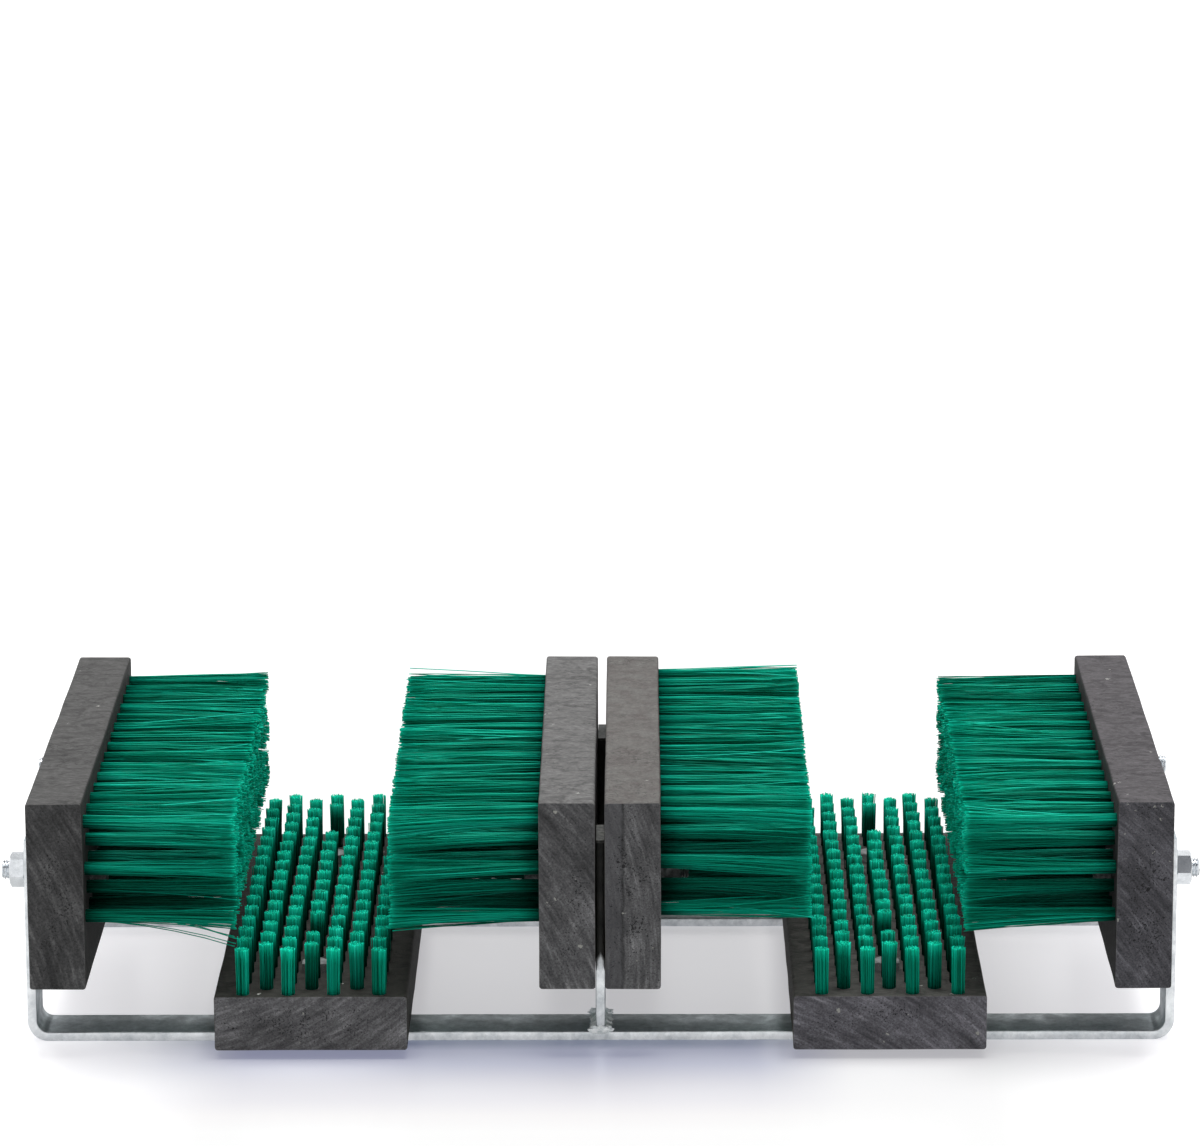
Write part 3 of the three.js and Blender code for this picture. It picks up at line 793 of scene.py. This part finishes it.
for side, out in (("left", -1), ("right", 1)):
    for row, facing in (("outer", -out), ("inner", out)):
        which = f"{side}_{row}"
        low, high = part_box(f"{which}_board")
        face = (low, high)[facing > 0][0]
        holes = [((face + facing * proud, y, z), (face - facing * tuft_depth, y, z), tuft_hole)
                 for y, z, line in side_tufts(LIFT[which])]
        holes += [((low[0] - proud, y, bolt_z), (high[0] + proud, y, bolt_z), side_bolt_hole)
                  for y in bolts_at]
        plank(which, holes, float(facing))
    which = f"{side}_base"
    low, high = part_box(f"{which}_board")
    middle_x = middle_of(f"{which}_board", 0)
    holes = [((x, y, high[2] + proud), (x, y, high[2] - tuft_depth), tuft_hole)
             for x, y in base_tufts(middle_x)]
    holes += [((middle_x, y, low[2] - proud), (middle_x, y, high[2] + proud), base_bolt_hole)
              for y in bolts_at]
    plank(which, holes, 0.0)


# The bristles are straight green filaments, about half a millimetre thick. Each tuft is driven
# into a drilled hole. It leaves the hole tight and round and fans out towards its cut tips.

filament_green, tree, shader = new_material("filament_green")
tone = attribute(tree, "tone")
reach = attribute(tree, "reach")
# depth is how much painted shade a filament gets
depth = attribute(tree, "depth")
green = ramp(tree, tone, (0.0, (0.0008, 0.2, 0.12)), (0.4, (0.0012, 0.42, 0.27)),
             (0.75, (0.002, 0.62, 0.42)), (1.0, (0.02, 0.8, 0.58)))
root_shade = ramp(tree, reach, (0.0, 0.55), (0.16, 0.95), (0.97, 1.0), (1.0, 1.6))
green = times(tree, green, root_shade)

# Painted shade: deep inside the brush, on the tufts' lower sides and towards the roots, the
# filaments are painted darker
painted_brush_shade = product(tree, depth, ramp(tree, reach, (0.0, 0.85), (0.3, 0.7), (0.7, 0.45), (1.0, 0.15)))
painted_root_shade = product(tree, between(tree, depth, 0.05, 0.3),
                    ramp(tree, reach, (0.0, 0.78), (0.12, 0.62), (0.34, 0.0)))
painted_brush_shade = value_of(tree, "MAXIMUM", painted_brush_shade, painted_root_shade)
feed_all(tree, shader, {
    "Base Color": mixed(tree, painted_brush_shade, green, (0.0, 0.0, 0.0)),
    "Roughness": ramp(tree, tone, (0.0, 0.56), (1.0, 0.42)),
    "Specular IOR Level": 0.06,
    "Normal": bumped(tree, noise_value(tree, own_place(tree), 900, 2), 0.1, 0.0001)})


def filaments(which, roots, depths, pulls, across, away, length, per_tuft, radius, hole,
              fan, lean, stray, ragged, droop, steps, seed, underside=0.0, hanging=()):
    """One board's filaments as closed three-sided rods. roots are the tufts' places on the
    board's face, across the two directions in the face, and away the way they point. depths tells
    how much painted shade each tuft gets, more the deeper it stands in the brush, pulls how far
    its tips lean over, underside how much more painted shade its lower filaments get, and hanging
    lists (tuft, first, last, sag) for filaments that hang down."""
    draw = np.random.default_rng(seed)
    tufts = len(roots)
    count = tufts * per_tuft
    golden_angle, full_turn, wild_share, bent_back = 2.39996, 6.2832, 0.05, 1.3
    roots = np.repeat(np.array(roots), per_tuft, axis=0)
    across = [np.array(direction, float) for direction in across]
    away = np.array(away, float)
    index = np.tile(np.arange(per_tuft), tufts)
    angle = index * golden_angle + np.repeat(draw.uniform(0, 6.28, tufts), per_tuft)
    spread = hole * np.sqrt((index + 0.5) / per_tuft)
    offset = np.stack([spread * np.cos(angle), spread * np.sin(angle)], axis=1)
    offset += draw.normal(0, 0.08 * MM, (count, 2))

    # Filaments of a tuft cling together in a few wisps, four outside and one in the middle
    wisps = 5
    outside = spread > 0.42 * hole
    wisp = (np.floor((angle / full_turn * 4) % 4) * outside + 4 * ~outside).astype(int)
    wisp = wisp + wisps * np.repeat(np.arange(tufts), per_tuft)
    wisp_lean = draw.normal(0, lean * 0.75, (tufts * wisps, 2))[wisp]
    wisp_bow = draw.normal(0, lean * 0.35, (tufts * wisps, 2))[wisp]
    wisp_tone = draw.normal(0, 0.13, tufts * wisps)[wisp]
    tuft_lean = np.repeat(draw.normal(0, lean, (tufts, 2)), per_tuft, axis=0)
    tip_offset = offset * fan + draw.normal(0, stray, (count, 2)) + tuft_lean + wisp_lean
    tip_offset += np.repeat(np.array(pulls), per_tuft, axis=0)
    wild = draw.random(count) < wild_share
    tip_offset[wild] += draw.normal(0, 2.5 * stray, (wild.sum(), 2))
    bow = draw.normal(0, 0.3 * stray, (count, 2)) + wisp_bow
    long = length - draw.random(count) ** 2 * ragged
    turn = draw.uniform(0, 2 * math.pi, count)
    sag = np.full(count, float(droop))
    for tuft, first, last, drop in hanging:
        start = tuft * per_tuft
        sag[start + first:start + last] = drop * np.linspace(0.8, 1.05, last - first)

    # The rods start inside the holes, and bend back where they would pass the board's end
    sunk, edge = 6 * MM, 149.2 * MM
    rings = []
    for step in range(steps + 1):
        t = step / steps
        flat = offset + (tip_offset - offset) * t ** 1.5 + bow * math.sin(math.pi * t)
        middle = roots + across[0] * flat[:, :1] + across[1] * flat[:, 1:]
        middle = middle + away * (-sunk * (step == 0) + (long * t * (step > 0)))[:, None]
        middle[:, 2] -= sag * t * t
        over = np.maximum(np.abs(middle[:, 1]) - edge, 0)
        middle[:, 1] -= np.sign(middle[:, 1]) * over * bent_back
        for side in range(3):
            around = turn + side * 2 * math.pi / 3
            rings.append(middle + radius * (across[0] * np.cos(around)[:, None]
                                            + across[1] * np.sin(around)[:, None]))
    points = np.stack(rings, axis=1)

    # Every rod has the same faces: quads, and a cap at each end
    faces = skin([range(3)] * (steps + 1))[1]
    if np.dot(np.cross(across[0], across[1]), away) < 0:
        faces = [face[::-1] for face in faces]
    rod_points = 3 * (steps + 1)
    starts = np.arange(count)[:, None, None] * rod_points
    quads = (starts + np.array(faces[:-2])).reshape(-1, 4)
    triangles = (starts + np.array(faces[-2:])).reshape(-1, 3)
    mesh = bpy.data.meshes.new(f"{which}_filaments")
    mesh.vertices.add(count * rod_points)
    mesh.vertices.foreach_set("co", points.reshape(-1).astype(np.float32))
    mesh.loops.add(quads.size + triangles.size)
    corners = np.concatenate([quads.reshape(-1), triangles.reshape(-1)])
    mesh.loops.foreach_set("vertex_index", corners)
    mesh.polygons.add(len(quads) + len(triangles))
    loop_starts = np.concatenate([np.arange(len(quads)) * 4,
                                  quads.size + np.arange(len(triangles)) * 3])
    mesh.polygons.foreach_set("loop_start", loop_starts)
    mesh.update(calc_edges=True)
    tone = np.clip(0.48 + wisp_tone + draw.normal(0, 0.17, count) + 0.25 * wild, 0, 1)
    reach = np.repeat(np.arange(steps + 1) / steps, 3)
    # Painted shade: the lower filaments of a tuft count as deeper
    painted_underside_shade = underside * np.clip(0.15 - offset[:, 1] / hole, 0, 1)
    deep = np.clip(np.repeat(depths, per_tuft) + painted_underside_shade, 0, 1)
    for label, values in (("tone", np.repeat(tone, rod_points)), ("reach", np.tile(reach, count)),
                          ("depth", np.repeat(deep, rod_points))):
        mark(mesh, label, values.astype(np.float32))
    mesh.shade_smooth()
    mesh.materials.append(filament_green)
    ride_as(linked(f"{which}_filaments", mesh), f"{which}_bristles")


def lean_to_bolt(y, z):
    """How far the tips of a side board's tuft lean towards a bolt close by."""
    near, most, fade = 26 * MM, 3.5 * MM, 12 * MM
    for bolt_y in bolts_at:
        gap = math.hypot(y - bolt_y, z - bolt_z)
        if gap < near:
            lean = most * (near - gap) / fade
            return ((bolt_y - y) / gap * lean, (bolt_z - z) / gap * lean)
    return (0.0, 0.0)


for side, out in (("left", -1), ("right", 1)):
    for row, facing in (("outer", -out), ("inner", out)):
        which = f"{side}_{row}"
        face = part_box(f"{which}_board")[facing > 0][0]
        places = side_tufts(LIFT[which])
        hanging = ()
        if which == "left_outer":
            lowest = min(range(len(places)), key=lambda n: (places[n][0], places[n][1]))
            hanging = ((lowest, 60, 65, 14.5 * MM), (lowest, 66, 70, 5 * MM))
        # Painted shade: tufts on lower lines and further from the board's ends get more
        filaments(which, [(face, y, z) for y, z, line in places],
                  [min(1.0, line / 3) * min(1.0, (140 * MM - abs(y)) / (22 * MM))
                   for y, z, line in places],
                  [lean_to_bolt(y, z) for y, z, line in places],
                  ((0, 1, 0), (0, 0, 1)), (facing, 0, 0), length=78 * MM, per_tuft=84,
                  radius=0.3 * MM, hole=3.3 * MM, fan=1.35, lean=1.25 * MM, stray=1.2 * MM,
                  ragged=2.2 * MM, droop=1.6 * MM, steps=5, underside=0.5, hanging=hanging,
                  seed=40 + out * 2 + (row == "inner"))
    board_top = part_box(f"{side}_base_board")[1][2]
    places = base_tufts(middle_of(f"{side}_base_board", 0))
    # Painted shade: base tufts further from the board's ends get more
    filaments(f"{side}_base", [(x, y, board_top) for x, y in places],
              [min(1.0, (144 * MM - abs(y)) / (16 * MM)) for x, y in places],
              [(0.0, 0.0)] * len(places), ((1, 0, 0), (0, 1, 0)),
              (0, 0, 1), length=24.4 * MM, per_tuft=56, radius=0.33 * MM, hole=3.4 * MM,
              fan=1.1, lean=0.22 * MM, stray=0.16 * MM, ragged=0.6 * MM, droop=0.0, steps=3,
              seed=60 + out)


# The fasteners are bright zinc plated steel. M10 hexagon bolts with washers run out of the
# bays through the boards and the frame to a nut, and M8 bolts hold the base boards down.

bright_zinc, tree, shader = new_material("bright_zinc")
coat = add_group(tree, zinc_coat, Spangle_Scale=900, Blotch_Scale=260)
colour = ramp(tree, coat["Blotch"], (0.3, (0.66, 0.69, 0.72)), (0.7, (0.86, 0.89, 0.92)))
place = split(tree, own_place(tree))

# Inside the bays the heads, washers and centre nuts are painted nearly black and less metallic:
# painted shade under the bristles. The base bolts' heads are trodden dull with dust
outer_face = 0.2665
side_bolts_from = 0.07
off_middle = value_of(tree, "ABSOLUTE", place["X"])
grime_and_painted_shade = product(tree, value_of(tree, "LESS_THAN", off_middle, outer_face),
                value_of(tree, "GREATER_THAN", place["Z"], side_bolts_from))
grime_and_painted_shade = product(tree, grime_and_painted_shade, between(tree, coat["Blotch"], 0.3, 0.6, 1.0, 0.8))
trodden = product(tree, between(tree, split(tree, facing_of(tree))["Z"], 0.3, 0.6),
                  value_of(tree, "LESS_THAN", place["Z"], side_bolts_from))
dust = ramp(tree, coat["Blotch"], (0.3, (0.07, 0.07, 0.065)), (0.7, (0.24, 0.25, 0.25)))
colour = mixed(tree, product(tree, trodden, 0.92), colour, dust)
painted_shade_and_dust = value_of(tree, "MAXIMUM", grime_and_painted_shade, trodden)
feed_all(tree, shader, {
    "Base Color": mixed(tree, grime_and_painted_shade, colour, (0.016, 0.017, 0.015)),
    "Metallic": ramp(tree, painted_shade_and_dust, (0.0, 0.95), (1.0, 0.1)),
    "Roughness": value_of(tree, "ADD", between(tree, coat["Blotch"], 0.3, 0.7, 0.22, 0.13),
                          product(tree, painted_shade_and_dust, 0.35)),
    "Normal": bumped(tree, coat["Blotch"], 0.12, 0.0001)})


def circle(radius, y, steps=72):
    """A ring of points round the Y axis."""
    return [(radius * math.sin(2 * math.pi * step / steps), y,
             radius * math.cos(2 * math.pi * step / steps)) for step in range(steps)]


def hexagon_rings(flats, height, both_ends, steps=72):
    """Rings round a hexagon along Y, whose corners are turned down at one end or at both."""
    face = flats * 0.475
    rings = [[], [], [], []]
    for step in range(steps):
        turn = 2 * math.pi * step / steps
        within = (turn + math.pi / 6) % (math.pi / 3) - math.pi / 6
        radius = flats / 2 / math.cos(math.pi / 6 - abs(within))
        drop = max(0.0, radius - face) * math.tan(math.radians(30))
        bottom = drop if both_ends else 0.0
        start = face if both_ends else radius
        for ring, (r, h) in zip(rings, ((start, 0.0), (radius, bottom),
                                        (radius, height - drop), (face, height))):
            ring.append((r * math.sin(turn), h, r * math.cos(turn)))
    return rings


def thread_rings(radius, pitch, start, finish, steps=72):
    """Rings down a screw from start to finish, with a true helix and a chamfered point."""
    depth = 0.61 * pitch
    rows = max(4, int(round((start - finish) / pitch * 8)))
    rings = []
    for row in range(rows + 1):
        y = start + (finish - start) * row / rows
        ring = []
        for step in range(steps):
            turn = 2 * math.pi * step / steps
            phase = (y / pitch + step / steps) % 1.0
            cut = depth * (1 - min(1.0, abs(2 * phase - 1) * 1.25))
            chamfer = max(0.0, depth * 1.1 - (y - finish))
            r = radius - max(cut, chamfer)
            ring.append((r * math.sin(turn), y, r * math.cos(turn)))
        rings.append(ring)
    return rings


def fasten(name, rings, with_ends, to_place, replaced):
    """Shows a fastener, made of rings along Y, at its place on the object."""
    vertices, faces = skin(rings, with_ends)
    show(name, [to_place @ Vector(v) for v in vertices], faces, bright_zinc, "zinc_plate",
         replaced, sharp_above=28)


def hex_bolt(name, flats, head, radius, pitch, length, threaded, to_place, replaced):
    """A bolt along Y: its head stands on y = 0, its shank and thread run down from there."""
    neck = -length + threaded
    thread = thread_rings(radius, pitch, neck - 0.2 * MM, -length)
    fasten(name, thread[::-1] + [circle(radius, neck), circle(radius, 0.0)]
           + hexagon_rings(flats, head, False), True, to_place, replaced)


def hex_nut(name, flats, height, radius, to_place, replaced):
    """A nut along Y from y = 0, with a countersunk bore."""
    sink = 0.9 * MM
    bore = [circle(radius * widening, y) for widening, y in (
        (1.1, height), (0.99, height - sink), (0.99, sink), (1.1, 0.0))]
    fasten(name, hexagon_rings(flats, height, True) + bore, False, to_place, replaced)


def flat_washer(name, radius, bore, thickness, to_place, replaced):
    """A stamped washer along Y from y = 0, with one edge rolled over by the punch."""
    roll = 0.25 * MM
    profile = ((bore, 0), (radius, 0), (radius, thickness - roll), (radius - roll, thickness),
               (bore + roll, thickness), (bore, thickness - roll))
    fasten(name, [circle(r, y) for r, y in profile], False, to_place, replaced)


def pointing_x(facing, x, y, z, turn=0.0):
    """Turns a fastener made along +Y to point along X, at its place."""
    return (Matrix.Translation((x, y, z))
            @ Matrix.Rotation(-facing * math.pi / 2, 4, "Z")
            @ Matrix.Rotation(math.radians(turn), 4, "Y"))


NUT_TURN = {"left_front": 21, "left_rear": 22, "right_front": -28, "right_rear": 8,
            "front": 11, "rear": 34}
m10, m10_pitch, m10_flats, m10_head, m10_nut = 5 * MM, 1.5 * MM, 16 * MM, 6.4 * MM, 8.4 * MM
m8, m8_pitch, m8_flats, m8_head = 4 * MM, 1.25 * MM, 13 * MM, 5.3 * MM
washer = (10 * MM, 5.4 * MM, 2 * MM)

for end in ("front", "rear"):
    y = bar_y[end]
    for side, out in (("left", -1), ("right", 1)):
        name = f"{side}_{end}"
        low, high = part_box(f"{name}_bolt")
        tip = max(abs(low[0]), abs(high[0]))
        seat = min(abs(low[0]), abs(high[0])) + m10_head
        hex_bolt(f"{name}_hex_bolt", m10_flats, m10_head, m10, m10_pitch, tip - seat, 22 * MM,
                 pointing_x(-out, out * seat, y, bolt_z, 7), f"{name}_bolt")
        flat_washer(f"{name}_flat_washer", *washer,
                    pointing_x(-out, out * (seat + 2 * MM), y, bolt_z), f"{name}_washer")
        hex_nut(f"{name}_hex_nut", m10_flats, m10_nut, m10,
                pointing_x(out, out * frame_half, y, bolt_z, NUT_TURN[name]), f"{name}_nut")
    name = f"centre_{end}"
    low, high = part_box(f"{name}_bolt")
    seat = -low[0] - m10_head
    hex_bolt(f"{name}_hex_bolt", m10_flats, m10_head, m10, m10_pitch, high[0] + seat, 26 * MM,
             pointing_x(-1, -seat, y, bolt_z, 19), f"{name}_bolt")
    for facing, which in ((-1, "head"), (1, "nut")):
        flat_washer(f"{name}_flat_{which}_washer", *washer,
                    pointing_x(facing, facing * (seat - 2 * MM), y, bolt_z),
                    f"{name}_{which}_washer")
    hex_nut(f"{name}_hex_nut", m10_flats, m10_nut, m10,
            pointing_x(1, seat, y, bolt_z, NUT_TURN[end]), f"{name}_nut")
    for side in ("left", "right"):
        name = f"{side}_{end}_base"
        low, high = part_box(f"{name}_bolt")
        seat = high[2] - m8_head
        upright = (Matrix.Translation((middle_of(f"{name}_bolt", 0), y, seat))
                   @ Matrix.Rotation(math.pi / 2, 4, "X"))
        hex_bolt(f"{name}_hex_bolt", m8_flats, m8_head, m8, m8_pitch, seat - low[2], 20 * MM,
                 upright, f"{name}_bolt")
